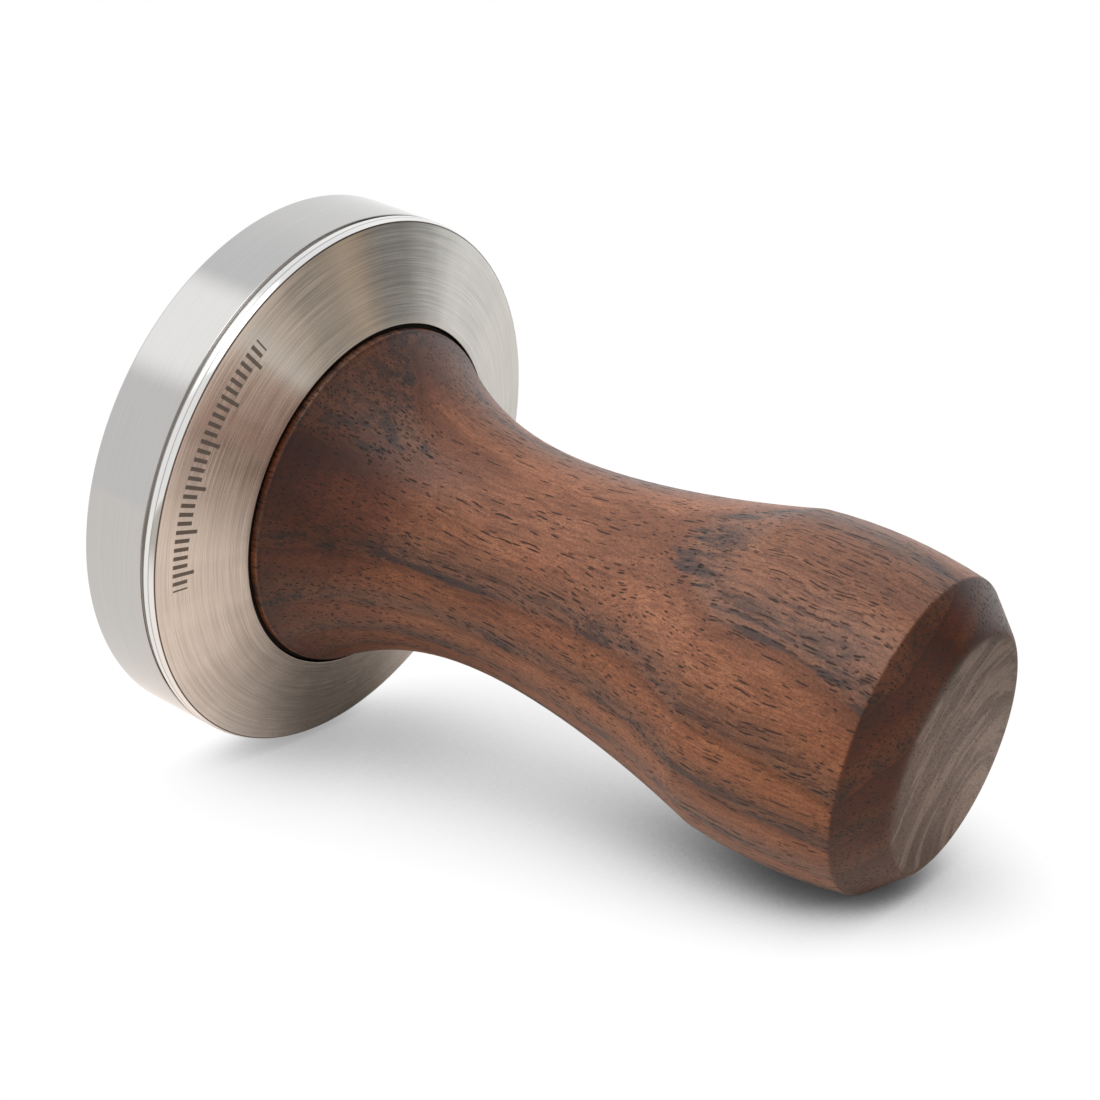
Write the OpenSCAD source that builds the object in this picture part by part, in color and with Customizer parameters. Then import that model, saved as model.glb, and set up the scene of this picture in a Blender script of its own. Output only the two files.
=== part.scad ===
// Espresso tamper. A turned steel base presses the coffee in a 58 mm filter basket, and a
// turned walnut handle screws onto it. A black ring seals the joint between the two.
//
// The tamper stands upright on Z = 0. The origin is the centre of the base's flat underside,
// and the handle's axis is Z. Every solid is a turning about that axis.

/* [Base] */
// Diameter of the base, made to suit the filter basket
base_d = 58; // [53:0.1:60]
// Height of the straight side wall that guides the base in the basket
wall_h = 7.7; // [6:0.1:12]
// Chamfer at the lower edge of the side wall
wall_edge = 0.25; // [0.1:0.05:0.6]
// Height of the turned groove above the side wall
groove_h = 0.45; // [0.3:0.05:1]
// Depth of the turned groove
groove_depth = 0.5; // [0.2:0.1:1.5]
// Height of the polished band above the groove
band_h = 1.25; // [1:0.05:2.5]
// Height of the fine chamfer that ends the polished band
band_edge_h = 0.6; // [0.2:0.05:0.8]
// How far that chamfer leans in
band_edge_lean = 0.23; // [0.1:0.01:0.5]
// Rise of the conical top, from the polished band up to the seat
cone_rise = 2.95; // [2:0.05:5]

/* [Seat and seal ring] */
// Diameter of the seat that the handle's foot stands in
seat_d = 37.6; // [34:0.1:40]
// Depth of the seat below the rim of the cone
seat_depth = 1.55; // [1.3:0.05:2.5]
// Thickness of the black seal ring
seal_h = 1.2; // [0.8:0.05:1.25]
// Gap all round between the seal ring and the wall of the seat
seal_gap = 0.1; // [0.05:0.05:0.3]
// Diameter of the hole through the seal ring
seal_hole_d = 18; // [17:0.5:28]

/* [Thread] */
// Outer diameter of the screw thread
thread_d = 8; // [6:1:8]
// Rise of the handle for one turn
thread_pitch = 1.25; // [0.75:0.25:1.25]
// Turns that hold the handle in the base
thread_turns = 6; // [4:1:6]
// Radial running clearance of the stud in the base
thread_clearance = 0.05; // [0.02:0.01:0.1]
// Length of the threaded stud
stud_length = 28; // [20:0.5:28]
// Width across the flats of the hexagon socket in the stud's lower end
socket_flats = 4; // [3:0.5:4]
// Depth of that socket
socket_depth = 4; // [2:0.5:5]

/* [Threaded insert] */
// Outer diameter of the brass insert
insert_d = 12; // [11:0.5:13]
// Diameter of the insert's flange
insert_flange_d = 16; // [14:0.5:16.5]
// Thickness of the insert's flange
insert_flange_h = 1.5; // [1:0.1:2.5]
// Length of the insert, with its flange
insert_length = 19.5; // [14:0.5:20]
// Gap all round where the insert and the stud are glued in
glue_gap = 0.02; // [0.02:0.01:0.06]

/* [Handle] */
// Diameter of the handle's foot
foot_d = 36.6; // [33:0.1:37]
// Height of the straight lip at the foot
foot_lip_h = 1.15; // [0.5:0.05:2]
// Diameter of the waist
waist_d = 23.4; // [18:0.1:27]
// Height of the waist above the underside of the base
waist_z = 34.5; // [32:0.5:40]
// How quickly the foot sweeps in to the waist
cove_power = 2.3; // [1.6:0.1:3]
// How slowly the waist flares out to the grip
flare_power = 1.7; // [1.4:0.1:2.5]
// Diameter of the edge where the grip begins
grip_start_d = 32.4; // [26:0.1:36]
// Height of that edge
grip_start_z = 61.1; // [55:0.5:66]
// Diameter of the edge where the grip ends
grip_end_d = 31.1; // [26:0.1:34]
// Height of that edge
grip_end_z = 77.2; // [72:0.5:78]
// How far the middle of the grip swells past a straight line
grip_swell = 0.64; // [0:0.02:1.5]
// Diameter of the end face
end_d = 23.6; // [18:0.1:25]
// Height where the bevel meets the end face
end_z = 81.1; // [79.5:0.1:86]
// Height of the shallow dome on the end face
end_dome = 0.4; // [0.1:0.05:1.5]
// Radius that softens the edges of the bevel
edge_round = 1; // [0.4:0.1:1.2]

/* [Hidden] */
$fn = 96;

base_r = base_d / 2;
band_z = wall_h + groove_h;
cone_z = band_z + band_h;
rim_z = cone_z + cone_rise;

seat_r = seat_d / 2;
seat_z = rim_z - seat_depth;
foot_z = seat_z + seal_h;

thread_r = thread_d / 2;
thread_grip = thread_turns * thread_pitch;
stud_end_z = seat_z - thread_grip;
stud_chamfer = 0.7;
hole_r = thread_r + thread_clearance;
hole_spare = 0.5;
hole_z = stud_end_z - hole_spare;
hole_sink = 0.6;

insert_r = insert_d / 2;
insert_flange_r = insert_flange_d / 2;
insert_bore_r = thread_r + glue_gap;
pocket_spare = 1.5;

foot_r = foot_d / 2;
lip_z = foot_z + foot_lip_h;
lip_round = 0.25;
waist_r = waist_d / 2;

// A cutter reaches this far past the face that it opens
past = 1;
// Straight steps that stand for each swept curve of the handle
cove_steps = 14;
flare_steps = 14;
grip_steps = 8;
round_steps = 4;
dome_steps = 4;

// A cylinder on the axis, from z_from up to z_to
module column(r, z_from, z_to) {
    translate([0, 0, z_from])
        cylinder(r = r, h = z_to - z_from);
}

// Height a fraction t of the way from a to b
function between(a, b, t) = a + (b - a) * t;

// A curve that leaves [r_wide, z_wide] and settles to r_waist at z_waist
function sweep_point(r_wide, z_wide, power, t) = [
    waist_r + (r_wide - waist_r) * pow(1 - t, power),
    between(z_wide, waist_z, t)
];

// A straight line from a to b, swollen outwards in the middle
function swollen_point(a, b, swell, t) = [
    between(a[0], b[0], t) + 4 * swell * t * (1 - t),
    between(a[1], b[1], t)
];

// The corner b of the path a-b-c, replaced by a curve that starts and ends "reach" from it
function soft_corner(a, b, c, reach) =
    let (
        p = b + (a - b) * reach / norm(a - b),
        q = b + (c - b) * reach / norm(c - b)
    )
    [for (i = [0:round_steps])
        let (t = i / round_steps)
        (1 - t) * (1 - t) * p + 2 * t * (1 - t) * b + t * t * q];

// Half section of the handle's outside, from the foot up to the middle of the end face
function handle_outline() =
    let (
        lip = foot_r - lip_round,
        grip_a = [grip_start_d / 2, grip_start_z],
        grip_b = [grip_end_d / 2, grip_end_z],
        end = [end_d / 2, end_z],
        grip_last = swollen_point(grip_a, grip_b, grip_swell, 1 - 1 / grip_steps)
    )
    concat(
        [[0, foot_z], [foot_r, foot_z], [foot_r, lip_z - lip_round]],
        [for (i = [0:cove_steps - 1])
            sweep_point(lip, lip_z, cove_power, i / cove_steps)],
        [for (i = [0:flare_steps - 1])
            sweep_point(grip_a[0], grip_a[1], flare_power, 1 - i / flare_steps)],
        [for (i = [0:grip_steps - 1])
            swollen_point(grip_a, grip_b, grip_swell, i / grip_steps)],
        soft_corner(grip_last, grip_b, end, edge_round),
        soft_corner(grip_b, end, [0, end_z + end_dome], edge_round),
        [for (i = [1:dome_steps])
            let (t = i / dome_steps)
            [(end[0] - edge_round) * (1 - t), end_z + end_dome * (1 - (1 - t) * (1 - t))]]
    );

// Steel base: side wall, groove, polished band, conical top, seat and tapped hole
module base() {
    color("#c3beb7")
    difference() {
        rotate_extrude()
            polygon([
                [0, 0],
                [base_r - wall_edge, 0],
                [base_r, wall_edge],
                [base_r, wall_h],
                [base_r - groove_depth, wall_h],
                [base_r - groove_depth, band_z],
                [base_r, band_z],
                [base_r, cone_z - band_edge_h],
                [base_r - band_edge_lean, cone_z],
                [seat_r, rim_z],
                [0, rim_z]
            ]);
        column(seat_r, seat_z, rim_z + past);
        column(hole_r, hole_z, seat_z + past);
        translate([0, 0, seat_z - hole_sink])
            cylinder(r1 = hole_r, r2 = hole_r + hole_sink, h = hole_sink);
    }
}

// Black ring under the foot, which shows as a thin line round it
module seal_ring() {
    color("#101010")
    difference() {
        column(seat_r - seal_gap, seat_z, foot_z);
        column(seal_hole_d / 2, seat_z - past, foot_z + past);
    }
}

// Steel stud, glued into the insert, that screws into the base
module threaded_stud() {
    color("#a9a9ab")
    translate([0, 0, stud_end_z])
    difference() {
        rotate_extrude()
            polygon([
                [0, 0],
                [thread_r - stud_chamfer, 0],
                [thread_r, stud_chamfer],
                [thread_r, stud_length - stud_chamfer],
                [thread_r - stud_chamfer, stud_length],
                [0, stud_length]
            ]);
        translate([0, 0, -past])
            cylinder(d = socket_flats / cos(30), h = socket_depth + past, $fn = 6);
    }
}

// Brass insert in the foot of the handle
module threaded_insert() {
    color("#b8924c")
    difference() {
        union() {
            column(insert_r, foot_z, foot_z + insert_length);
            column(insert_flange_r, foot_z, foot_z + insert_flange_h);
        }
        column(insert_bore_r, foot_z - past, foot_z + insert_length + past);
    }
}

// Walnut handle, turned in one piece, with a blind pocket for the insert
module handle() {
    color("#7a4e38")
    difference() {
        rotate_extrude()
            polygon(handle_outline());
        column(insert_r + glue_gap, foot_z - past, foot_z + insert_length + pocket_spare);
        column(insert_flange_r + glue_gap, foot_z - past, foot_z + insert_flange_h + glue_gap);
    }
}

base();
seal_ring();
threaded_stud();
threaded_insert();
handle();
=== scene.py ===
"""Looks of an espresso tamper: turned steel base, black seal ring, walnut handle and the fastening inside.

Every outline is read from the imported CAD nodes, rounded at its corners and turned about the Z axis.
"""

import math

import bmesh
import bpy
from mathutils import Matrix, Vector


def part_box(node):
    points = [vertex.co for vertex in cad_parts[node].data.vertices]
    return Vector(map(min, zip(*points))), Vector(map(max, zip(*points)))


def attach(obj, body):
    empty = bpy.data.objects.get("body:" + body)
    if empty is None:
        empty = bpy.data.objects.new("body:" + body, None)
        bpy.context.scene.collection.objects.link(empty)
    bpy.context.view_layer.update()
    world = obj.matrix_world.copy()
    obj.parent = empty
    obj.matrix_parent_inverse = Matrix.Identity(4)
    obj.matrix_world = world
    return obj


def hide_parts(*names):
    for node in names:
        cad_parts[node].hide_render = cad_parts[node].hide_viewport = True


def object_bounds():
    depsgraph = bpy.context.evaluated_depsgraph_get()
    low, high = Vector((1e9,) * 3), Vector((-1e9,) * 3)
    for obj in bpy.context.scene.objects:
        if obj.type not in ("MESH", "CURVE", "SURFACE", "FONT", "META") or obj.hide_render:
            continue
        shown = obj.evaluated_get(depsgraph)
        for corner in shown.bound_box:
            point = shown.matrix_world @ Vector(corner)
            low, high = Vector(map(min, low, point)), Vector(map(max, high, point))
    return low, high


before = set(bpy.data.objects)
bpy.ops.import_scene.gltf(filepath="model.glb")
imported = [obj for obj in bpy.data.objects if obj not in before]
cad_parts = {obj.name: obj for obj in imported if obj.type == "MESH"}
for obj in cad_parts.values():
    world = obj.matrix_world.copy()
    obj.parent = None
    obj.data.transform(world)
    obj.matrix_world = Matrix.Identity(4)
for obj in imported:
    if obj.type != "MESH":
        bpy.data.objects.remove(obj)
cad_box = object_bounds()

MM = 0.001
TURN = 2 * math.pi

# ---------------------------------------------------------------- outlines read from the frame

RING_SNAP = 0.03 * MM


def rings_of(node):
    """The rings of vertices of a turned CAD node, and which rings an edge of the mesh joins."""
    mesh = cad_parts[node].data
    rings, names, of_vertex = [], {}, []
    for vertex in mesh.vertices:
        spot = (math.hypot(vertex.co.x, vertex.co.y), vertex.co.z)
        cell = (round(spot[0] / RING_SNAP), round(spot[1] / RING_SNAP))
        near = [(cell[0] + i, cell[1] + j) for i in (0, -1, 1) for j in (0, -1, 1)]
        known = next((names[c] for c in near if c in names), None)
        if known is None:
            known = len(rings)
            rings.append(spot)
            names[cell] = known
        of_vertex.append(known)
    joined = {i: set() for i in range(len(rings))}
    for edge in mesh.edges:
        a, b = (of_vertex[i] for i in edge.vertices)
        if a != b:
            joined[a].add(b)
            joined[b].add(a)
    return rings, joined


def section(node):
    """A turned CAD node's half section: (radius, height) points in order, and whether it closes on itself."""
    rings, joined = rings_of(node)
    ends = sorted((i for i in joined if len(joined[i]) == 1), key=lambda i: rings[i][1])
    here = ends[0] if ends else 0
    path, seen = [here], {here}
    while True:
        onward = [i for i in sorted(joined[here]) if i not in seen]
        if not onward:
            break
        here = onward[0]
        path.append(here)
        seen.add(here)
    return [Vector(rings[i]) for i in path], not ends


def rounded(points, closed, reach, steps=4, least_turn=math.radians(5)):
    """The outline with each real corner replaced by a curve that starts and ends at most reach from it."""
    count = len(points)
    out = []
    for i, point in enumerate(points):
        if not closed and i in (0, count - 1):
            out.append(point)
            continue
        before, after = points[i - 1] - point, points[(i + 1) % count] - point
        turn = math.pi - before.angle(after)
        if turn < least_turn:
            out.append(point)
            continue
        p = point + before.normalized() * min(reach, 0.45 * before.length)
        q = point + after.normalized() * min(reach, 0.45 * after.length)
        for k in range(steps + 1):
            t = k / steps
            out.append(p * (1 - t) ** 2 + point * 2 * t * (1 - t) + q * t ** 2)
    return out


def unrounded(points, keep, gap=0.6 * MM, least_turn=math.radians(3)):
    """The outline with each curved corner drawn back to its sharp corner, except where keep(point) holds."""
    turns = [0] * len(points)
    for i in range(1, len(points) - 1):
        turns[i] = (points[i] - points[i - 1]).angle(points[i + 1] - points[i])
    out, first = [], 0
    while first < len(points):
        last = first
        while (last + 1 < len(points) and min(turns[last], turns[last + 1]) > least_turn
               and (points[last + 1] - points[last]).length < gap):
            last += 1
        if last - first >= 3 and not keep(points[first]):
            before, after = points[first] - points[first - 1], points[last + 1] - points[last]
            across = points[last] - points[first]
            share = (across.x * after.y - across.y * after.x) / (before.x * after.y - before.y * after.x)
            out.append(points[first] + before * share)
        else:
            out.extend(points[first:last + 1])
        first = last + 1
    return out


def filled(points, gap):
    """The outline with extra points, so that no two neighbours are further apart than gap."""
    out = [points[0]]
    for point in points[1:]:
        parts = max(1, math.ceil((point - out[-1]).length / gap))
        start = out[-1]
        out.extend(start.lerp(point, k / parts) for k in range(1, parts + 1))
    return out


# ---------------------------------------------------------------- meshes

POLE = 0.02 * MM


def turned(name, rows, body, cad_node, materials, material_of=None, closed=False, segments=288):
    """A mesh turned about Z. A row is a (radius, height) point or a function that gives it for an angle.

    material_of(radius, height) picks the material of a face from its middle.
    """
    mesh = bpy.data.meshes.new(name)
    bm = bmesh.new()
    angles = [TURN * k / segments for k in range(segments)]
    loops = []
    for row in rows:
        spots = [row(a) if callable(row) else row for a in angles]
        if max(spot[0] for spot in spots) < POLE:
            loops.append([bm.verts.new((0, 0, spots[0][1]))])
            continue
        loops.append([bm.verts.new((s[0] * math.cos(a), s[0] * math.sin(a), s[1]))
                      for s, a in zip(spots, angles)])
    pairs = list(zip(loops, loops[1:])) + ([(loops[-1], loops[0])] if closed else [])
    for low, high in pairs:
        for k in range(segments):
            n = (k + 1) % segments
            corners = [low[k % len(low)], low[n % len(low)], high[n % len(high)], high[k % len(high)]]
            corners = [v for i, v in enumerate(corners) if v not in corners[:i]]
            if len(corners) > 2:
                bm.faces.new(corners)
    for loop in ([] if closed else [loops[0], loops[-1]]):
        if len(loop) > 1:
            bm.faces.new(loop)
    bmesh.ops.recalc_face_normals(bm, faces=bm.faces)
    for face in bm.faces:
        face.smooth = True
        if material_of:
            middle = face.calc_center_median()
            reach = sum(math.hypot(v.co.x, v.co.y) for v in face.verts) / len(face.verts)
            face.material_index = material_of(reach / MM, middle.z / MM)
    bm.to_mesh(mesh)
    bm.free()
    for material in materials:
        mesh.materials.append(material)
    piece = bpy.data.objects.new(name, mesh)
    bpy.context.scene.collection.objects.link(piece)
    keep_flats = piece.modifiers.new("flats stay flat", "WEIGHTED_NORMAL")
    keep_flats.mode = "FACE_AREA"
    keep_flats.weight = 50
    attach(piece, body)
    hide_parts(cad_node)
    return piece


# ---------------------------------------------------------------- material graphs


class Graph:
    """Short names for building the nodes of a material or a world, the owner.

    Any input can be a number, a tuple or a socket.
    """

    def __init__(self, owner):
        self.owner = owner
        owner.use_nodes = True
        self.tree = owner.node_tree
        self.tree.nodes.clear()

    def node(self, kind, inputs=None, **settings):
        made = self.tree.nodes.new(kind)
        for key, value in settings.items():
            setattr(made, key, value)
        for key, value in (inputs or {}).items():
            self.set(made.inputs[key], value)
        return made

    def set(self, socket, value):
        if isinstance(value, bpy.types.NodeSocket):
            self.tree.links.new(value, socket)
        elif socket.type == "RGBA" and len(value) == 3:
            socket.default_value = (*value, 1)
        else:
            socket.default_value = value

    def math(self, operation, *values):
        return self.node("ShaderNodeMath", dict(enumerate(values)), operation=operation).outputs[0]

    def vector(self, operation, *values):
        made = self.node("ShaderNodeVectorMath", dict(enumerate(values)), operation=operation)
        return made.outputs["Value" if operation in ("DOT_PRODUCT", "LENGTH") else "Vector"]

    def join(self, x, y, z):
        return self.node("ShaderNodeCombineXYZ", {0: x, 1: y, 2: z}).outputs[0]

    def split(self, vector):
        return self.node("ShaderNodeSeparateXYZ", {0: vector}).outputs

    def place(self):
        """Where the shaded point is on the piece, in millimetres."""
        spot = self.node("ShaderNodeTexCoord").outputs["Object"]
        return self.vector("MULTIPLY", spot, (1 / MM,) * 3)

    def noise(self, vector, scale=1.0, detail=2.0, rough=0.5, distort=0.0):
        inputs = {"Vector": vector, "Scale": scale, "Detail": detail, "Roughness": rough,
                  "Distortion": distort}
        return self.node("ShaderNodeTexNoise", inputs).outputs["Fac"]

    def streaks(self, vector, run, detail, rough, distort=0.0):
        """Noise with run repeats a millimetre in x, y and z."""
        return self.noise(self.vector("MULTIPLY", vector, run), 1.0, detail, rough, distort)

    def step(self, value, low, high):
        """0 below low, 1 above high, and smooth between. low may be the larger one."""
        made = self.node("ShaderNodeMapRange", {"Value": value, "From Min": low, "From Max": high},
                         interpolation_type="SMOOTHSTEP")
        return made.outputs[0]

    def between(self, value, a, b):
        """Blend from number a to number b as value goes from 0 to 1."""
        return self.node("ShaderNodeMapRange", {"Value": value, "To Min": a, "To Max": b}).outputs[0]

    def mix(self, share, a, b, blend="MIX"):
        made = self.node("ShaderNodeMix", data_type="RGBA", blend_type=blend)
        self.set(made.inputs["Factor"], share)
        self.set(made.inputs["A"], a)
        self.set(made.inputs["B"], b)
        return made.outputs["Result"]

    def ramp(self, value, stops):
        made = self.node("ShaderNodeValToRGB", {"Fac": value})
        scale = made.color_ramp.elements
        while len(scale) < len(stops):
            scale.new(1)
        for element, (spot, colour) in zip(scale, stops):
            element.position = spot
            element.color = (*colour, 1)
        return made.outputs["Color"]

    def ramp_number(self, value, stops):
        """A piecewise straight curve through (value, result) stops."""
        return self.ramp(value, [(spot, (level,) * 3) for spot, level in stops])

    def bump(self, height, strength, distance):
        inputs = {"Height": height, "Strength": strength, "Distance": distance}
        return self.node("ShaderNodeBump", inputs).outputs[0]

    def surface(self, **inputs):
        named = {key.replace("_", " "): value for key, value in inputs.items()}
        shader = self.node("ShaderNodeBsdfPrincipled", named)
        self.node("ShaderNodeOutputMaterial", {"Surface": shader.outputs[0]})
        return self.owner


def darker(g, share, colour, factors):
    """The colour, multiplied by factors where share is 1."""
    return g.mix(share, colour, g.mix(1.0, colour, factors, "MULTIPLY"))


def around(g, spot):
    """Radius and direction about the Z axis: (radius, cosine, sine)."""
    x, y, _ = g.split(spot)
    radius = g.math("SQRT", g.math("ADD", g.math("MULTIPLY", x, x), g.math("MULTIPLY", y, y)))
    safe = g.math("MAXIMUM", radius, 1e-3)
    return radius, g.math("DIVIDE", x, safe), g.math("DIVIDE", y, safe)


# ---------------------------------------------------------------- walnut

# The centre of the branch runs inside the handle, bent along a cubic curve. x and y in millimetres for
# powers of t, where t is the height above PITH_LEVEL counted in PITH_SPAN.
PITH_LEVEL, PITH_SPAN = 45.0, 30.0
PITH_X = (-9.25, 5.26, 2.58, -5.82)
PITH_Y = (5.6, 0.38, -1.03, 0.0)
# A growth ring ends at this distance from the branch's centre, and then one at every RING_WIDTH. The rings
# waver by up to half of RING_WAVER.
RING_END, RING_WIDTH, RING_WAVER = 16.4, 2.42, 0.9
# Fibres sway sideways by up to half of this.
FIBRE_SWAY = (1.6, 1.6, 0.0)
# Painted shade: a soft darker, redder patch on the side of the foot, where the cove lies in deep shade warmed
# by bounced light. Place and sizes in millimetres.
PAINTED_SHADE_AT = (15.2, 1.0, 18.0)
PAINTED_SHADE_REACH, PAINTED_SHADE_CORE = 11.0, 4.0

# Patterns are stretched along the fibres. Repeats per millimetre in x, y and z.
TONE_RUN = (0.24, 0.24, 0.05)
SWAY_RUN = (0.16, 0.16, 0.16)
WAVER_RUN = (0.22, 0.22, 0.07)
FIBRE_RUN = (3.6, 3.6, 0.3)
STRAND_RUN = (2.1, 2.1, 0.05)
STAIN_RUN = (0.8, 0.8, 0.06)
PATCH_RUN = (0.6, 0.6, 0.15)
SPECKLE_RUN = (6.5, 6.5, 4.0)
FIGURE_RUN = (0.17, 0.17, 0.12)
# The same for the rings on the end face: in distance from the branch's centre, x and y.
END_RUN = (0.7, 0.11, 0.11)

WOOD_DARK = (0.22, 0.081, 0.036)
WOOD_MIDDLE = (0.3, 0.115, 0.052)
WOOD_LIGHT = (0.36, 0.148, 0.073)
WOOD_LATE = (0.11, 0.036, 0.017)
WOOD_EARLY = (0.15, 0.079, 0.053)
WOOD_STAIN = (0.03, 0.022, 0.024)
WOOD_PORE = (0.022, 0.009, 0.006)
STAINED_PORE = (0.004, 0.003, 0.004)
# The flat end face's rings. Their grey-brown partly paints the end face's sheen.
END_DARK = (0.03, 0.018, 0.012)
END_MIDDLE = (0.085, 0.058, 0.044)
END_PALE = (0.23, 0.185, 0.16)
# Each of these multiplies the wood's red, green and blue where its pattern is full.
FIBRE_SHADE = (0.66, 0.59, 0.56)
STRAND_SHADE = (0.55, 0.5, 0.49)
SPECKLE_SHADE = (0.62, 0.57, 0.54)
FIGURE_SHADE = (0.62, 0.5, 0.42)
PAINTED_SHADE_FACTORS = (0.58, 0.44, 0.36)
# Partly painted shade: end grain's darkening, which also paints the shade on the cove, foot and bevel.
END_GRAIN_AND_SHADE = (0.54, 0.39, 0.29)
LATE_END_SHADE = (0.44, 0.3, 0.21)
END_SPECKLE_SHADE = (0.68, 0.68, 0.68)

# The share of vessels kept, by the place in a ring.
VESSELS_KEPT = [(0.0, 1.0), (0.25, 0.95), (0.5, 0.7), (0.9, 0.42), (1.0, 0.25)]
# Moves the small vessels away from the big ones.
SMALL_VESSELS_FROM = (31.7, 11.3, 5.1)


def cubic(g, t, powers):
    total = powers[-1]
    for power in reversed(powers[:-1]):
        total = g.math("MULTIPLY_ADD", total, t, power)
    return total


def rings(g, spot):
    """The distance from the branch's centre, and the place in a ring: 0 at one ring's end, 1 at the next."""
    x, y, z = g.split(spot)
    t = g.math("DIVIDE", g.math("SUBTRACT", z, PITH_LEVEL), PITH_SPAN)
    dx = g.math("SUBTRACT", x, cubic(g, t, PITH_X))
    dy = g.math("SUBTRACT", y, cubic(g, t, PITH_Y))
    radius = g.math("SQRT", g.math("ADD", g.math("MULTIPLY", dx, dx), g.math("MULTIPLY", dy, dy)))
    waver = g.math("SUBTRACT", g.streaks(spot, WAVER_RUN, 2.0, 0.5), 0.5)
    radius = g.math("MULTIPLY_ADD", waver, RING_WAVER, radius)
    return radius, g.math("FRACT", g.math("DIVIDE", g.math("SUBTRACT", radius, RING_END), RING_WIDTH))


def wander(g, spot):
    """The place in the wood after its grain has been straightened: fibres sway a little on their way up."""
    slow = g.vector("MULTIPLY", spot, SWAY_RUN)
    sway = g.node("ShaderNodeTexNoise", {"Vector": slow, "Scale": 1.0, "Detail": 2.0}).outputs["Color"]
    sway = g.vector("MULTIPLY", g.vector("SUBTRACT", sway, (0.5, 0.5, 0.5)), FIBRE_SWAY)
    return g.vector("ADD", spot, sway)


def pores(g, spot, cell, run, dense, sizes):
    """Vessels along the grain: 1 inside a vessel. Each is broken into runs, and dense is the share kept.

    cell and run are a vessel's spacing and length in millimetres, and sizes the least and greatest radius
    as shares of the spacing.
    """
    flat = g.vector("MULTIPLY", spot, (1 / cell, 1 / cell, 0))
    cells = g.node("ShaderNodeTexVoronoi", {"Vector": flat, "Scale": 1.0, "Randomness": 0.95},
                   voronoi_dimensions="2D")
    near, tint = cells.outputs["Distance"], g.split(cells.outputs["Color"])
    along = g.math("MULTIPLY_ADD", g.split(spot)[2], 1 / run, g.math("MULTIPLY", tint[2], 7.0))
    part = g.math("FLOOR", along)
    chance = g.node("ShaderNodeTexWhiteNoise", {"Vector": g.join(tint[0], tint[1], part)}).outputs[0]
    present = g.math("LESS_THAN", chance, dense)
    middle = g.math("ABSOLUTE", g.math("SUBTRACT", g.math("FRACT", along), 0.5))
    size = g.math("MULTIPLY", g.between(tint[1], *sizes), g.step(middle, 0.5, 0.2))
    inside = g.step(near, size, g.math("MULTIPLY", size, 0.6))
    return g.math("MULTIPLY", inside, present)


def ring_colours(g, wood, grain, phase):
    """Late wood darkens up to a ring's end, early wood is greyer after it, and dark strands run through."""
    late = g.math("MAXIMUM", g.step(phase, 0.84, 0.99), g.step(phase, 0.13, 0.0))
    wood = g.mix(g.math("MULTIPLY", late, 0.6), wood, WOOD_LATE)
    early = g.math("MULTIPLY", g.step(phase, 0.75, 0.1), g.step(phase, 0.0, 0.13))
    wood = g.mix(g.math("MULTIPLY", early, 0.74), wood, WOOD_EARLY)
    strands = g.step(g.streaks(grain, STRAND_RUN, 2.0, 0.55), 0.5, 0.66)
    strands = g.math("MULTIPLY", strands, g.between(early, 0.3, 1.0))
    return darker(g, strands, wood, STRAND_SHADE)


def stains(g, grain, phase):
    """1 inside the blue-black streaks, which follow a ring's end."""
    blotch = g.step(g.streaks(grain, STAIN_RUN, 3.0, 0.6, 0.2), 0.46, 0.61)
    after_end = g.math("MULTIPLY", g.step(phase, 0.5, 0.08), g.step(phase, 0.0, 0.06))
    return g.math("MULTIPLY", blotch, after_end)


def vessels(g, grain, phase):
    """1 inside a vessel, big or small. They crowd after a ring's end and come in loose patches."""
    patchy = g.step(g.streaks(grain, PATCH_RUN, 2.0, 0.5), 0.3, 0.62)
    dense = g.math("MULTIPLY", g.ramp_number(phase, VESSELS_KEPT), g.between(patchy, 0.65, 1.1))
    big = pores(g, grain, 0.4, 2.8, dense, (0.17, 0.31))
    elsewhere = g.vector("ADD", grain, SMALL_VESSELS_FROM)
    small = pores(g, elsewhere, 0.36, 1.4, g.math("MULTIPLY", dense, 0.9), (0.14, 0.27))
    return g.math("MAXIMUM", big, g.math("MULTIPLY", small, 0.8))


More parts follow.
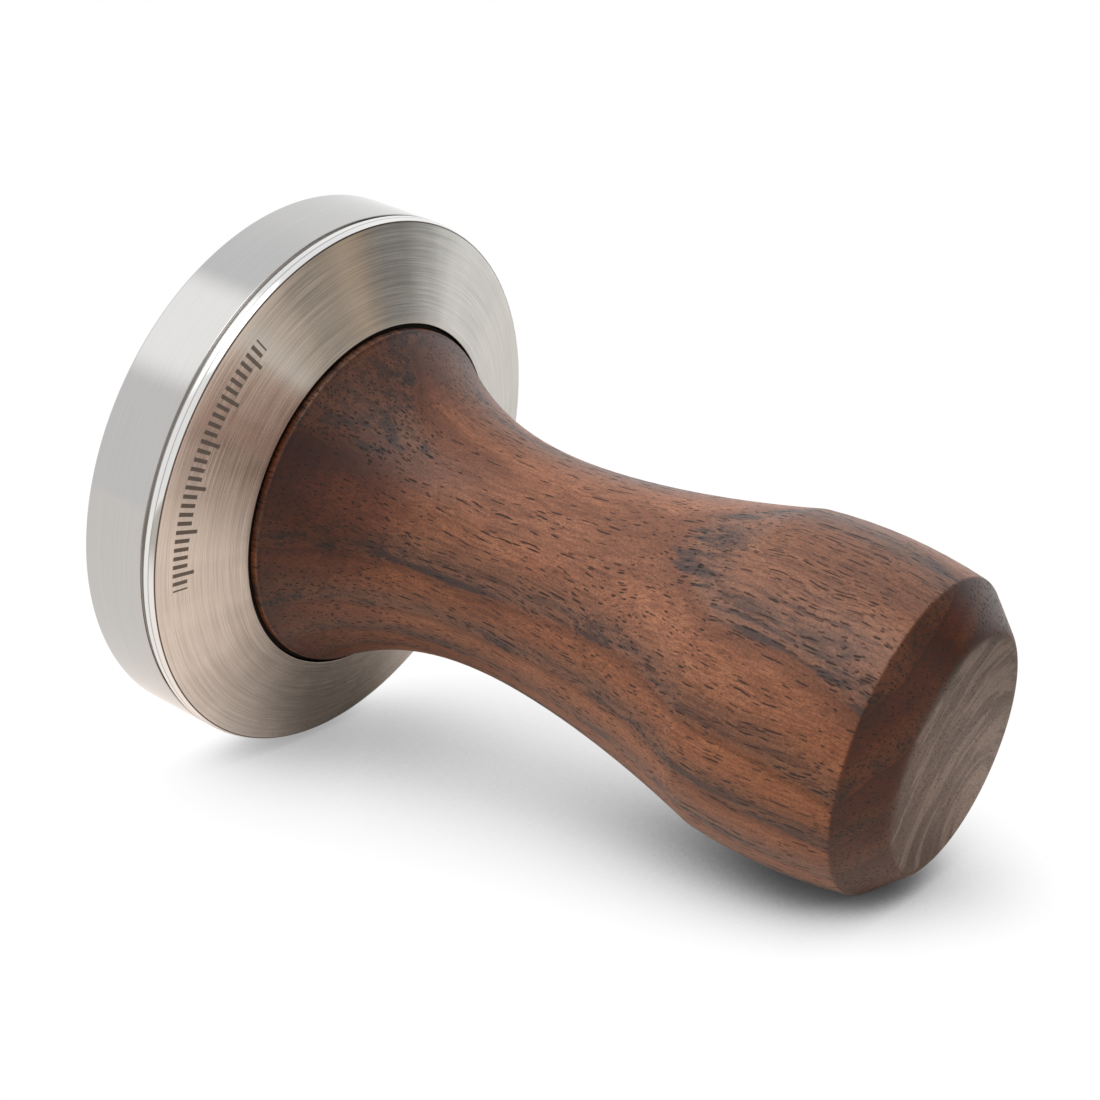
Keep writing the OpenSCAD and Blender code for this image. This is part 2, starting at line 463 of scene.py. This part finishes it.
def end_colours(g, wood, spot, depth, phase, speckle):
    """The wood, darker where the surface cuts across the fibres: end grain is darker, and the same darkening
    paints the shade on the cove, foot and bevel. A patch of painted shade darkens the side of the foot, and
    the flat end face gets pale rings in a grey-brown that partly paints its sheen.
    """
    across = g.math("ABSOLUTE", g.split(g.node("ShaderNodeTexCoord").outputs["Normal"])[2])
    # Partly painted shade: end grain is darker, and this mask also darkens the cove, foot and bevel that face
    # away from the light.
    end_grain_and_shade = g.step(across, 0.2, 0.7)
    end_face = g.step(across, 0.93, 0.99)

    figure = g.step(g.streaks(spot, FIGURE_RUN, 2.0, 0.5), 0.46, 0.6)
    wood = darker(g, g.math("MULTIPLY", end_grain_and_shade, figure), wood, FIGURE_SHADE)
    from_painted_shade = g.vector("LENGTH", g.vector("SUBTRACT", spot, PAINTED_SHADE_AT))
    # Painted shade: the soft dark red patch on the side of the foot.
    wood = darker(g, g.step(from_painted_shade, PAINTED_SHADE_REACH, PAINTED_SHADE_CORE), wood, PAINTED_SHADE_FACTORS)
    wood = darker(g, end_grain_and_shade, wood, END_GRAIN_AND_SHADE)
    late_end = g.math("MULTIPLY", end_grain_and_shade, g.step(phase, 0.3, 0.65))
    late_end = g.math("MULTIPLY", late_end, g.math("SUBTRACT", 1.0, end_face))
    wood = darker(g, late_end, wood, LATE_END_SHADE)

    x, y, _ = g.split(spot)
    swirl = g.streaks(g.join(depth, x, y), END_RUN, 3.0, 0.55, 0.7)
    # Pale rings on the flat end face, in a grey-brown that partly paints its sheen.
    face = g.ramp(swirl, [(0.4, END_DARK), (0.5, END_MIDDLE), (0.59, END_PALE)])
    face = darker(g, g.step(speckle, 0.3, 0.7), face, END_SPECKLE_SHADE)
    return g.mix(g.math("MULTIPLY", end_face, 0.85), wood, face)


def walnut():
    """Oiled walnut: rings about a bent centre, vessels, blue-black streaks, fibre and darker end grain, with
    painted shade on the end grain and the foot and a partly painted sheen on the end face.
    """
    g = Graph(bpy.data.materials.new("walnut_oiled"))
    spot = g.place()
    depth, phase = rings(g, spot)
    grain = wander(g, spot)
    fibre = g.streaks(grain, FIBRE_RUN, 3.0, 0.6)
    stain = stains(g, grain, phase)
    vessel = vessels(g, grain, phase)
    speckle = g.streaks(spot, SPECKLE_RUN, 1.0, 0.5)

    tone = g.streaks(grain, TONE_RUN, 3.0, 0.55)
    wood = g.ramp(tone, [(0.32, WOOD_DARK), (0.5, WOOD_MIDDLE), (0.68, WOOD_LIGHT)])
    wood = darker(g, g.step(fibre, 0.36, 0.66), wood, FIBRE_SHADE)
    wood = ring_colours(g, wood, grain, phase)
    wood = g.mix(g.math("MULTIPLY", stain, 0.82), wood, WOOD_STAIN)
    wood = g.mix(g.math("MULTIPLY", vessel, 0.92), wood, g.mix(stain, WOOD_PORE, STAINED_PORE))
    wood = darker(g, g.step(speckle, 0.3, 0.75), wood, SPECKLE_SHADE)
    wood = end_colours(g, wood, spot, depth, phase, speckle)

    height = g.math("MULTIPLY_ADD", fibre, 0.3, g.math("SUBTRACT", 1.0, vessel))
    rough = g.math("MULTIPLY_ADD", vessel, 0.25, g.between(speckle, 0.32, 0.46))
    return g.surface(Base_Color=wood, Roughness=rough, Normal=g.bump(height, 0.6, 0.07 * MM),
                     Specular_IOR_Level=0.4)


# ---------------------------------------------------------------- metals and rubber

# How fast the lathe's lines and the light and dark wedges change round the axis. The wedges are painted
# reflection sectors, and also vary the roughness.
LINES_SPREAD, BROAD_SPREAD, WEDGE_SPREAD = 3.0, 1.0, 6.0
WEDGE_FINE = 0.1
# A stretched highlight lies along the lines at a quarter turn, and leans a little from line to line.
ALONG_LINES, LINE_LEAN = 0.25, 0.13
LINE_DEPTH = 0.006 * MM
# How much lighter and darker the lines are at full grain.
LINE_LIGHT, LINE_DARK = 0.4, 0.55
ETCHED_COLOUR = (0.085, 0.068, 0.055)


def lathe_lines(g, along, radius_cos_sin, fine, spread):
    """Fine lines round the axis: noise that changes fast along the outline and slowly round it."""
    _, cosine, sine = radius_cos_sin
    spot = g.join(g.math("MULTIPLY", cosine, spread), g.math("MULTIPLY", sine, spread),
                  g.math("MULTIPLY", along, fine))
    return g.noise(spot, 1.0, 1.5, 0.55)


def steel(name, tint, rough, grain=0.1, fine=6.0, stretch=0.3, along="z", sectors=0.0, marks=None):
    """Turned steel. along says which way the lathe's lines are counted, marks darkens an etched pattern.

    grain is the strength of the lines, and sectors that of the wedges: light and dark reflection sectors
    painted into the colour, which also vary the roughness.
    """
    g = Graph(bpy.data.materials.new(name))
    spot = g.place()
    polar = around(g, spot)
    count = g.split(spot)[2] if along == "z" else polar[0]
    lines = lathe_lines(g, count, polar, fine, LINES_SPREAD)
    broad = lathe_lines(g, count, polar, fine * 0.2, BROAD_SPREAD)
    both = g.math("MULTIPLY_ADD", lines, 0.7, g.math("MULTIPLY", broad, 0.3))
    level = g.step(both, 0.3, 0.7)
    if sectors:
        # Painted reflection: light and dark wedges in the colour stand in for the sectors that brushed steel
        # mirrors; they also vary the roughness.
        reflection_wedges = g.step(lathe_lines(g, count, polar, WEDGE_FINE, WEDGE_SPREAD), 0.3, 0.7)
        level = g.math("MULTIPLY_ADD", g.math("SUBTRACT", reflection_wedges, 0.5), sectors, level)
    dark = tuple(c * (1 - LINE_DARK * grain) for c in tint)
    light = tuple(c * (1 + LINE_LIGHT * grain) for c in tint)
    colour = g.mix(level, dark, light)
    rough_now = g.between(level, *rough)
    if marks:
        etched = marks(g, polar)
        colour = g.mix(g.math("MULTIPLY", etched, 0.8), colour, ETCHED_COLOUR)
        rough_now = g.math("MULTIPLY_ADD", etched, 0.3, rough_now)
    facing = g.node("ShaderNodeLayerWeight", {"Blend": 0.5}).outputs["Facing"]
    relief = g.math("MULTIPLY", g.step(facing, 0.95, 0.8), min(1.0, grain * 2))
    tangent = g.node("ShaderNodeTangent", direction_type="RADIAL", axis="Z").outputs[0]
    lean = g.math("MULTIPLY_ADD", g.math("SUBTRACT", lines, 0.5), LINE_LEAN * grain, ALONG_LINES)
    return g.surface(Base_Color=colour, Metallic=1.0, Roughness=rough_now, Anisotropic=stretch,
                     Anisotropic_Rotation=lean, Tangent=tangent, Normal=g.bump(lines, relief, LINE_DEPTH))


# A scale of short etched ticks on the cone: its middle direction, half its arc and its tick spacing.
TICKS_AT = math.radians(9)
TICKS_HALF = math.radians(29)
TICK_EVERY = math.radians(2.0)
TICK_LONG_EVERY = 5
# A long tick's inner and outer radius in millimetres, and how much shorter the others are.
TICK_INNER, TICK_OUTER, TICK_SHORTER = 24.6, 26.9, 0.7
TICK_SOFT = 0.08


def etched_ticks(g, polar):
    """1 on a short row of ticks of equal width, where every fifth tick is longer."""
    radius, cosine, sine = polar
    angle = g.math("SUBTRACT", g.math("ARCTAN2", sine, cosine), TICKS_AT)
    index = g.math("DIVIDE", angle, TICK_EVERY)
    offset = g.math("ABSOLUTE", g.math("SUBTRACT", g.math("FRACT", index), 0.5))
    bar = g.step(offset, 0.26, 0.21)
    within = g.step(g.math("ABSOLUTE", angle), TICKS_HALF, TICKS_HALF - 0.002)
    fifth = g.math("FRACT", g.math("DIVIDE", g.math("FLOOR", index), TICK_LONG_EVERY))
    long = g.math("LESS_THAN", g.math("ABSOLUTE", g.math("SUBTRACT", fifth, 0.4)), 0.05)
    inner = g.math("SUBTRACT", TICK_INNER + TICK_SHORTER, g.math("MULTIPLY", long, TICK_SHORTER))
    band = g.math("MULTIPLY", g.step(radius, inner, g.math("ADD", inner, TICK_SOFT)),
                  g.step(radius, TICK_OUTER, TICK_OUTER - TICK_SOFT))
    return g.math("MULTIPLY", g.math("MULTIPLY", bar, within), band)


def rubber():
    """Matt black rubber with a faint moulded grain."""
    g = Graph(bpy.data.materials.new("rubber_black"))
    grain = g.noise(g.place(), 4.0, 3.0, 0.6)
    colour = g.mix(grain, (0.004, 0.004, 0.004), (0.011, 0.011, 0.012))
    return g.surface(Base_Color=colour, Roughness=g.between(grain, 0.7, 0.9),
                     Normal=g.bump(grain, 0.4, 0.03 * MM), Specular_IOR_Level=0.2)


# ---------------------------------------------------------------- pieces

# The handle keeps the CAD's rounding this close to its top, and gets sharp corners everywhere else.
ROUND_TOP = 1.5 * MM


def make_handle():
    outline, closed = section("handle")
    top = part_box("handle")[1].z
    outline = unrounded(outline, lambda corner: corner.y > top - ROUND_TOP)
    outline = filled(rounded(outline, closed, 0.2 * MM), 0.6 * MM)
    return turned("walnut_handle", outline, "handle", "handle", [walnut()], closed=closed)


def base_finishes():
    """The steel's finishes, in the order that make_base counts them."""
    return [
        steel("steel_side_wall", (0.555, 0.55, 0.545), (0.08, 0.12), 0.05, 8.0, 0.3),
        steel("steel_underside", (0.6, 0.59, 0.57), (0.14, 0.22), 0.14, 9.0, 0.6, "radius"),
        steel("steel_groove", (0.62, 0.6, 0.58), (0.18, 0.26), 0.1, 6.0, 0.2),
        steel("steel_polished_band", (0.82, 0.82, 0.81), (0.06, 0.1), 0.05, 6.0, 0.2),
        steel("steel_band_edge", (0.5, 0.49, 0.48), (0.2, 0.3), 0.1, 6.0, 0.2),
        # Painted shade: a near-black line where the leaning edge meets the cone, the shade in that crease.
        steel("steel_crease_shade", (0.12, 0.1, 0.09), (0.3, 0.4), 0.1, 6.0, 0.2),
        # The cone's light and dark wedges are painted reflection sectors.
        steel("steel_brushed_cone", (0.61, 0.6, 0.575), (0.2, 0.27), 0.34, 13.0, 0.92, "radius",
              sectors=0.3, marks=etched_ticks),
    ]


def make_base():
    """The base, with a finish for each stretch of its outline. Heights and radii in millimetres."""
    outline, closed = section("base")
    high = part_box("base")[1]
    seat = min(p.x for p in outline if high.z - p.y < RING_SNAP) / MM
    shoulder = max(p.y for p in outline if p.x > 0.98 * high.x) / MM
    rims = sorted(p.y / MM for p in outline if high.x - p.x < RING_SNAP)
    groove_low, groove_high, band_edge = rims[-3:]
    wall, underside, groove, band, line, crease_shade, cone = range(7)

    def finish_of(radius, height):
        if height < 0.02 or radius < seat + 0.02:
            return underside
        # Painted shade in the crease between the leaning edge and the cone.
        if abs(height - shoulder) < 0.06 and radius > 0.98 * high.x / MM:
            return crease_shade
        if height > shoulder:
            return cone
        if groove_low + 0.02 < height < groove_high - 0.02:
            return groove
        if abs(height - band_edge) < 0.05:
            return line
        return band if height > groove_high else wall

    outline = filled(rounded(outline, closed, 0.12 * MM), 1.2 * MM)
    return turned("steel_base", outline, "base", "base", base_finishes(), finish_of,
                  closed=closed, segments=384)


def make_seal():
    outline, closed = section("seal_ring")
    outline = rounded(outline, closed, 0.2 * MM)
    return turned("rubber_seal", outline, "seal_ring", "seal_ring", [rubber()],
                  closed=closed, segments=192)


def make_insert():
    outline, closed = section("threaded_insert")
    outline = rounded(outline, closed, 0.2 * MM)
    brass = steel("brass_turned", (0.72, 0.5, 0.2), (0.2, 0.32), 0.3, 6.0, 0.3)
    return turned("brass_insert", outline, "handle", "threaded_insert", [brass],
                  closed=closed, segments=96)


THREAD_PITCH = 1.25 * MM
THREAD_DEPTH = 0.7 * MM
THREAD_FLAT = 0.12
ROWS_A_TURN = 14


def make_stud():
    """The stud with a real helical thread and a hexagon socket in its lower end."""
    rings_found, _ = rings_of("threaded_stud")
    low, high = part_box("threaded_stud")
    crest = high.x
    end_r = max(r for r, z in rings_found if z < low.z + RING_SNAP)
    socket_corner = min(r for r, z in rings_found)
    socket_top = max(z for r, z in rings_found if r < socket_corner + RING_SNAP)
    flats = socket_corner * math.cos(math.pi / 6)
    chamfer = crest - end_r

    def hexagon(height):
        return lambda a: (flats / math.cos(a % (math.pi / 3) - math.pi / 6), height)

    def thread(height):
        def spot(a):
            turn = (height / THREAD_PITCH - a / TURN) % 1
            slope = abs(turn - 0.5) * 2
            cut = min(1.0, max(0.0, (slope - THREAD_FLAT) / (1 - 2 * THREAD_FLAT)))
            edge = min(height - low.z, high.z - height, chamfer)
            return (min(crest - THREAD_DEPTH * cut, end_r + edge), height)
        return spot

    count = round((high.z - low.z) / THREAD_PITCH * ROWS_A_TURN)
    heights = [low.z + (high.z - low.z) * k / count for k in range(count + 1)]
    rows = [Vector((0, socket_top)), hexagon(socket_top), hexagon(low.z)]
    rows += [thread(h) for h in heights] + [Vector((0, high.z))]
    zinc = steel("steel_zinc_plated", (0.6, 0.61, 0.63), (0.2, 0.34), 0.3, 4.0, 0.2)
    return turned("threaded_stud_m8", rows, "handle", "threaded_stud", [zinc],
                  segments=96)


# ---------------------------------------------------------------- camera

# The camera's place and the point it looks at, its turn about its own axis, and its lens in millimetres.
CAMERA_AT = Vector((191.6, 0, 142.1)) * MM
CAMERA_LOOKS_AT = Vector((0, -2.2, 34.4)) * MM
CAMERA_ROLL = 1.983
CAMERA_LENS = 72.0
# Sharp at this distance from the camera, a little before the cone, so the near end of the grip is soft.
FOCUS = 214 * MM
APERTURE = 110.0


def camera_axes():
    """The camera's right, up and backward directions."""
    back = (CAMERA_AT - CAMERA_LOOKS_AT).normalized()
    right = Vector((0, 0, 1)).cross(back).normalized()
    up = back.cross(right)
    c, s = math.cos(CAMERA_ROLL), math.sin(CAMERA_ROLL)
    return right * c + up * s, up * c - right * s, back


def make_camera():
    data = bpy.data.cameras.new("camera")
    data.lens = CAMERA_LENS
    data.sensor_width = 36.0
    camera = bpy.data.objects.new("camera", data)
    bpy.context.scene.collection.objects.link(camera)
    turn = Matrix(camera_axes()).transposed().to_4x4()
    camera.matrix_world = Matrix.Translation(CAMERA_AT) @ turn
    data.clip_start, data.clip_end = 0.01, 10.0
    data.dof.use_dof = True
    data.dof.focus_distance = FOCUS
    data.dof.aperture_fstop = APERTURE
    bpy.context.scene.camera = camera


# ---------------------------------------------------------------- floor

# The tamper lies on its base's rim and its grip, so the floor touches both, on this side of the axis.
FLOOR_SIDE = math.radians(116.0)
FLOOR_SLOPE = math.radians(12.0)


def floor_down():
    """The direction from the tamper down to the floor it lies on."""
    flat = math.cos(FLOOR_SLOPE)
    return Vector((math.cos(FLOOR_SIDE) * flat, math.sin(FLOOR_SIDE) * flat, math.sin(FLOOR_SLOPE)))


def studio_axes():
    """Axes of the lying tamper's room: right, away from the camera, and up from the floor."""
    up = -floor_down()
    right = camera_axes()[0]
    right = (right - up * right.dot(up)).normalized()
    return right, up.cross(right), up


def in_frame(studio):
    """A vector given along the room's right, away and up axes, as a vector of the frame."""
    return Matrix(studio_axes()).transposed() @ Vector(studio)


def floor_point(resting):
    """A point of the floor, below the middle of the tamper, so that the resting pieces touch the floor."""
    down = floor_down()
    reach = max(vertex.co.dot(down) for piece in resting for vertex in piece.data.vertices)
    low, high = cad_box
    middle = (low + high) / 2
    return middle + down * (reach - middle.dot(down))


# Distances on the floor are in metres: x to the right and y away from the camera, from its middle.
FLOOR_HALF = 0.6
# The sheet fades into the white room from the second distance to the first.
FLOOR_FADE = (0.5, 0.25)
# Painted shadow: the floor's glow follows the share of the sky it sees, so it is darkest where the tamper
# hides the sky. The steel mirrors a second painted shadow, as if lit from front left.
FLOOR_SHADE = [(0.0, 0.03), (0.2, 0.17), (0.3, 0.36), (0.42, 0.66), (0.55, 0.86), (0.7, 1.0)]
FLOOR_MIRRORED = [(0.0, 0.0), (0.34, 0.05), (0.54, 0.5), (0.74, 0.97)]
# The middle of the part of the sky that counts, along the room's axes.
SKY_SEEN = (-0.2, 0.0, 0.98)
SKY_MIRRORED = (-0.45, -0.35, 0.8)
# How deep the painted shadow is along x, which is counted from 0 to 1 across SHADE_ACROSS.
SHADE_DEPTH = [(0.25, 0.5), (0.45, 0.85), (0.68, 1.4), (0.81, 1.1), (0.9, 1.5)]
SHADE_ACROSS = 0.1

FLOOR_SEEN_TINT = (1.02, 1.02, 1.02)
# Painted reflection: as reflections see it, the floor is tinted, and warm on the near side.
FLOOR_TINT = (1.0, 0.97, 0.94)
NEAR_TINT = (1.2, 0.97, 0.83)
# Painted reflection: no card stands there, but in reflections the floor is darker on the right, between two
# directions from this point, as if a dark card stood there.
PAINTED_CARD_FROM = (-0.033, 0.023)
PAINTED_CARD_SHADE = (0.6, 0.55, 0.5)
# Painted shade: in reflections the floor is darker at the front, and as bounce light on the matt surfaces it
# is dimmer.
FRONT_SHADE = (0.55, 0.53, 0.5)
BOUNCE_SHADE = (0.5, 0.48, 0.46)


def sky_share(g, middle, samples):
    """The share of the sky about the room's direction middle that the tamper leaves free."""
    inputs = {"Distance": 1.0, "Normal": g.join(*in_frame(middle).normalized())}
    return g.node("ShaderNodeAmbientOcclusion", inputs, samples=samples).outputs["AO"]


def mirrored_tint(g, spot, bounced):
    """The floor's colour in reflections, all painted: warm on the near side, darker in a wedge on the right
    as if a dark card stood there, and darker at the front.

    bounced is 1 for light that reaches the tamper's matt surfaces, which get less from the floor.
    """
    x, y, _ = g.split(spot)
    toward_camera = g.math("MULTIPLY_ADD", x, 0.5, y)
    near_side = g.math("MULTIPLY", g.step(x, -0.07, -0.02), g.step(toward_camera, 0.06, 0.015))
    tint = g.mix(near_side, FLOOR_TINT, NEAR_TINT)
    slope = g.math("DIVIDE", g.math("SUBTRACT", y, PAINTED_CARD_FROM[1]), g.math("SUBTRACT", x, PAINTED_CARD_FROM[0]))
    painted_card = g.math("MULTIPLY", g.step(slope, -0.24, -0.14), g.step(slope, 0.5, 0.3))
    tint = darker(g, g.math("MULTIPLY", painted_card, g.step(x, 0.02, 0.07)), tint, PAINTED_CARD_SHADE)
    front = g.math("MULTIPLY", g.step(y, -0.025, -0.06), g.step(x, 0.0, -0.03))
    front = g.math("MULTIPLY", front, g.step(x, -0.2, -0.12))
    tint = darker(g, g.math("MULTIPLY", front, g.math("SUBTRACT", 1.0, bounced)), tint, FRONT_SHADE)
    return darker(g, bounced, tint, BOUNCE_SHADE)


def glowing_floor():
    """A sheet that glows as brightly as the sky it sees, so the shadow under the tamper is painted into its
    glow. It is clear from below and far away.
    """
    g = Graph(bpy.data.materials.new("floor_glow_painted_shadow"))
    spot = g.node("ShaderNodeTexCoord").outputs["Object"]
    fade = g.step(g.vector("LENGTH", spot), *FLOOR_FADE)
    behind = g.node("ShaderNodeNewGeometry").outputs["Backfacing"]
    shown = g.math("MULTIPLY", fade, g.math("SUBTRACT", 1.0, behind))
    paths = g.node("ShaderNodeLightPath").outputs

    across = g.math("MULTIPLY_ADD", g.split(spot)[0], 1 / SHADE_ACROSS, 0.5)
    deep = g.ramp_number(across, SHADE_DEPTH)
    # Painted shadow: the floor's glow, darkened where the tamper hides the sky, once for the camera and once
    # for reflections.
    seen = g.math("POWER", g.ramp_number(sky_share(g, SKY_SEEN, 24), FLOOR_SHADE), deep)
    mirrored = g.ramp_number(sky_share(g, SKY_MIRRORED, 8), FLOOR_MIRRORED)
    shade = g.mix(paths["Is Camera Ray"], mirrored, seen)
    bounced = g.math("MINIMUM", paths["Diffuse Depth"], 1.0)
    tint = g.mix(paths["Is Camera Ray"], mirrored_tint(g, spot, bounced), FLOOR_SEEN_TINT)

    # The floor glows though it is no lamp: its painted shadow and tints also reach the tamper as bounce light
    # and reflections.
    glow = g.node("ShaderNodeEmission", {"Color": g.mix(1.0, tint, shade, "MULTIPLY")})
    clear = g.node("ShaderNodeBsdfTransparent")
    mixed = g.node("ShaderNodeMixShader", {0: shown, 1: clear.outputs[0], 2: glow.outputs[0]})
    g.node("ShaderNodeOutputMaterial", {"Surface": mixed.outputs[0]})
    return g.owner


def make_floor(resting):
    """A pale sheet under the tamper, one-sided, that fades into the white room."""
    mesh = bpy.data.meshes.new("floor")
    corners = [(x * FLOOR_HALF, y * FLOOR_HALF, 0) for x, y in ((-1, -1), (1, -1), (1, 1), (-1, 1))]
    mesh.from_pydata(corners, [], [(0, 1, 2, 3)])
    mesh.materials.append(glowing_floor())
    floor = bpy.data.objects.new("floor", mesh)
    bpy.context.scene.collection.objects.link(floor)
    turn = Matrix(studio_axes()).transposed().to_4x4()
    floor.matrix_world = Matrix.Translation(floor_point(resting)) @ turn


# ---------------------------------------------------------------- room and lights

# Brightness of the room's walls as the steel mirrors them, by compass direction from 0 at the camera's
# back, by 0.25 at the right, to 0.5 behind the tamper. Brown and grey cards stand on the right.
ROOM_WALLS = [
    (0.0, (0.3, 0.28, 0.27)), (0.1, (1.1, 0.96, 0.86)), (0.185, (1.1, 0.93, 0.8)),
    (0.206, (0.72, 0.5, 0.34)), (0.224, (0.5, 0.43, 0.37)), (0.233, (0.14, 0.12, 0.1)),
    (0.25, (0.36, 0.3, 0.25)), (0.258, (0.66, 0.5, 0.36)), (0.27, (0.5, 0.36, 0.24)),
    (0.278, (0.19, 0.195, 0.19)), (0.306, (0.19, 0.195, 0.19)), (0.338, (1.07, 1.07, 1.06)),
    (0.5, (1.0, 1.0, 1.0)), (0.74, (0.92, 0.91, 0.91)), (0.93, (0.88, 0.87, 0.86)),
]
ROOM_CEILING = (0.9, 0.9, 0.91)
# Bright panels that the steel and the oiled wood mirror: where they are along the room's axes, the angles
# in degrees where they start and end to fade, and their colour.
MIRRORED_PANELS = [
    ((-0.65, 0.0, 0.76), (11, 22), (1.38, 1.38, 1.37)),
    ((-0.15, -0.44, 0.88), (8, 24), (3.0, 3.0, 3.0)),
]
# The soft light that matt surfaces get, in the same form, and its darkest tone.
SOFT_LIGHT = ((-0.6, 0.05, 0.8), (15, 85), (1.8, 1.78, 1.75))
SOFT_DARK = (0.11, 0.085, 0.065)


def panel(g, direction, colour, at, fade, light):
    """The colour of the room, changed to light near the room's direction at."""
    closeness = g.vector("DOT_PRODUCT", direction, tuple(in_frame(at).normalized()))
    inner, outer = (math.cos(math.radians(angle)) for angle in fade)
    return g.mix(g.step(closeness, outer, inner), colour, light)


def make_room():
    """White for the camera. Reflections and soft light see panels of uneven brightness."""
    world = bpy.data.worlds.new("room")
    bpy.context.scene.world = world
    g = Graph(world)
    direction = g.node("ShaderNodeTexCoord").outputs["Generated"]
    east, north, height = (g.vector("DOT_PRODUCT", direction, tuple(axis)) for axis in studio_axes())

    compass = g.math("ARCTAN2", east, g.math("MULTIPLY", north, -1))
    walls = g.ramp(g.math("FRACT", g.math("DIVIDE", compass, TURN)), ROOM_WALLS)
    mirrored = g.mix(g.step(height, 0.7, 0.95), walls, ROOM_CEILING)
    for at, fade, light in MIRRORED_PANELS:
        mirrored = panel(g, direction, mirrored, at, fade, light)
    soft = panel(g, direction, SOFT_DARK, *SOFT_LIGHT)

    paths = g.node("ShaderNodeLightPath").outputs
    colour = g.mix(g.math("MINIMUM", paths["Diffuse Depth"], 1.0), mirrored, soft)
    colour = g.mix(paths["Is Camera Ray"], colour, (1.0, 1.0, 1.0))
    sky = g.node("ShaderNodeBackground", {"Color": colour, "Strength": 1.0})
    g.node("ShaderNodeOutputWorld", {"Surface": sky.outputs[0]})


def make_light(name, spot, size, power):
    """A rectangular soft light aimed at the tamper. spot is along the room's axes, in metres."""
    middle = sum(cad_box, Vector()) / 2
    data = bpy.data.lights.new(name, "AREA")
    data.shape = "RECTANGLE"
    data.size, data.size_y = size
    data.energy = power
    light = bpy.data.objects.new(name, data)
    bpy.context.scene.collection.objects.link(light)
    place = middle + in_frame(spot)
    turn = (middle - place).to_track_quat("-Z", "Y").to_matrix().to_4x4()
    light.matrix_world = Matrix.Translation(place) @ turn
    light.visible_glossy = False


# ---------------------------------------------------------------- the scene

base = make_base()
handle = make_handle()
make_seal()
make_insert()
make_stud()
make_camera()
make_floor([base, handle])
make_room()
make_light("softbox_above", (-0.1, 0.05, 0.5), (0.4, 0.4), 1.25)
make_light("softbox_left", (-0.5, 0.0, 0.35), (0.3, 0.4), 0.65)
bpy.context.scene.view_settings.view_transform = "Standard"
